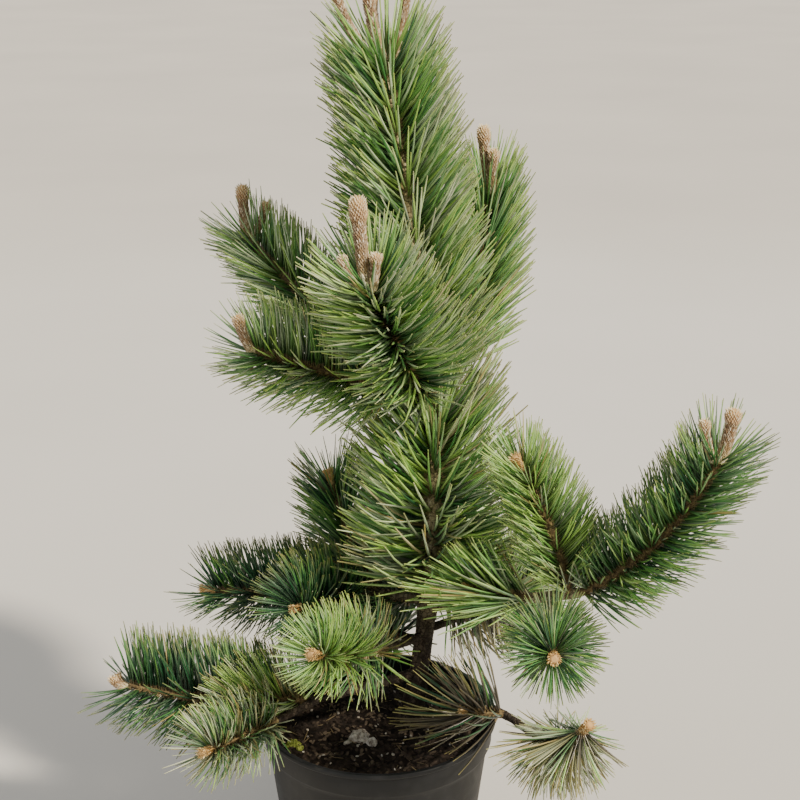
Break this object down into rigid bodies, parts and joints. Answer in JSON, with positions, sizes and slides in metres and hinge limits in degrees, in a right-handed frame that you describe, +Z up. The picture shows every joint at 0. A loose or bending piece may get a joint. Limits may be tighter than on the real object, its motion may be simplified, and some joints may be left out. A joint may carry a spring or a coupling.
{
  "type": "potted conifer",
  "caption": "Young two-needled pine in a round tapered nursery pot: a leaning trunk with open tiers of needled shoots that end in candles and buds, standing in compost.",
  "frame": {"origin": "middle of the pot's flat underside", "axes": "+Z up along the pot's axis; -Y towards the viewer of the picture; +X to the viewer's right"},
  "size_m": [0.5796, 0.4293, 0.8792],
  "materials": {
    "pot": "moulded, satin",
    "compost": "loose, damp",
    "bark": "rough bark",
    "needles": "waxy leaves"
  },
  "bodies": {
    "root": {"back_bough": "bark", "back_left_bough": "bark", "back_left_needles": "needles", "back_needles": "needles", "back_right_bough": "bark", "back_right_needles": "needles", "column_needles": "needles", "compost": "compost", "front_left_bough": "bark", "front_left_needles": "needles", "leader_needles": "needles", "left_bough": "bark", "left_butt_needles": "needles", "left_fan_needles": "needles", "left_long_needles": "needles", "left_upper_needles": "needles", "low_left_bough": "bark", "low_left_front_bough": "bark", "low_left_front_needles": "needles", "low_left_long_needles": "needles", "low_left_mid_needles": "needles", "low_right_bough": "bark", "low_right_inner_needles": "needles", "low_right_tip_bough": "bark", "low_right_tip_needles": "needles", "pot": "pot", "right_bough": "bark", "right_butt_needles": "needles", "right_front_bough": "bark", "right_front_needles": "needles", "right_inner_needles": "needles", "right_low_needles": "needles", "right_tip_needles": "needles", "trunk": "bark", "upper_back_bough": "bark", "upper_back_needles": "needles", "upper_front_bough": "bark", "upper_front_needles": "needles", "upper_left_back_bough": "bark", "upper_left_back_needles": "needles", "upper_left_bough": "bark", "upper_left_needles": "needles", "upper_right_back_bough": "bark", "upper_right_back_needles": "needles"}
  },
  "joints": []
}
